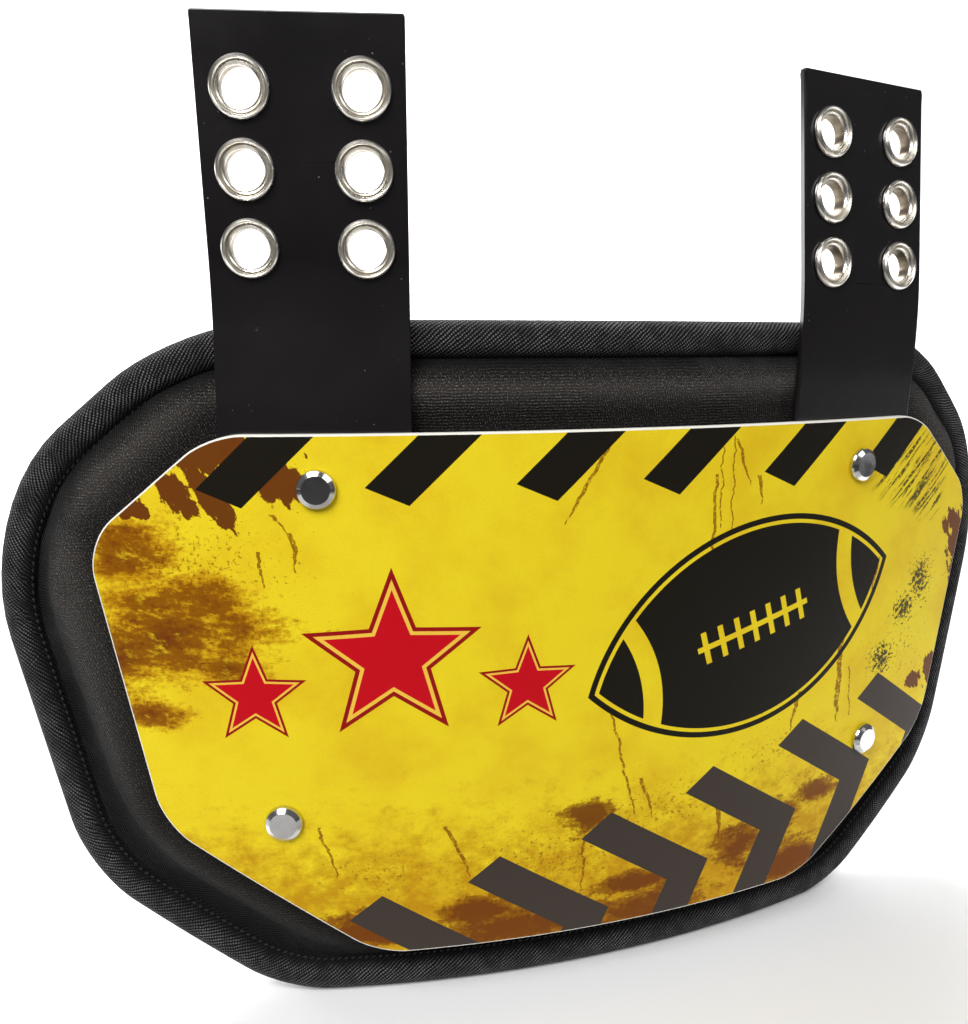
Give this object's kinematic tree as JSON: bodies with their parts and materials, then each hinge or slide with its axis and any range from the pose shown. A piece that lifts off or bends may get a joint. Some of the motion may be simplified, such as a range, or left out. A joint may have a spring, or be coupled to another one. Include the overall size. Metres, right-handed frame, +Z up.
{
  "type": "football back plate",
  "caption": "Curved printed plastic plate riveted through two stiff eyelet straps to a bound, padded cushion; it hangs from shoulder pads and guards the lower back",
  "frame": {"origin": "bottom middle of the box around the part, on the floor that its lower edge stands on", "axes": "+X to the viewer's right of the printed face, +Y towards the wearer, +Z up the straps"},
  "size_m": [0.35, 0.0602, 0.2769],
  "materials": {
    "plate": "printed, semi-gloss",
    "pad": "knit over foam",
    "binding": "woven tape",
    "strap": "glossy sheet",
    "eyelet": "nickel plated",
    "rivet": "nickel plated"
  },
  "bodies": {
    "root": {"plate": "plate", "pad": "pad", "edge_binding": "binding", "strap_left": "strap", "strap_right": "strap", "eyelet_left_inner_1": "eyelet", "eyelet_left_outer_1": "eyelet", "eyelet_left_inner_2": "eyelet", "eyelet_left_outer_2": "eyelet", "eyelet_left_inner_3": "eyelet", "eyelet_left_outer_3": "eyelet", "eyelet_right_inner_1": "eyelet", "eyelet_right_outer_1": "eyelet", "eyelet_right_inner_2": "eyelet", "eyelet_right_outer_2": "eyelet", "eyelet_right_inner_3": "eyelet", "eyelet_right_outer_3": "eyelet", "rivet_upper_left": "rivet", "rivet_upper_right": "rivet", "rivet_lower_left": "rivet", "rivet_lower_right": "rivet"}
  },
  "joints": []
}
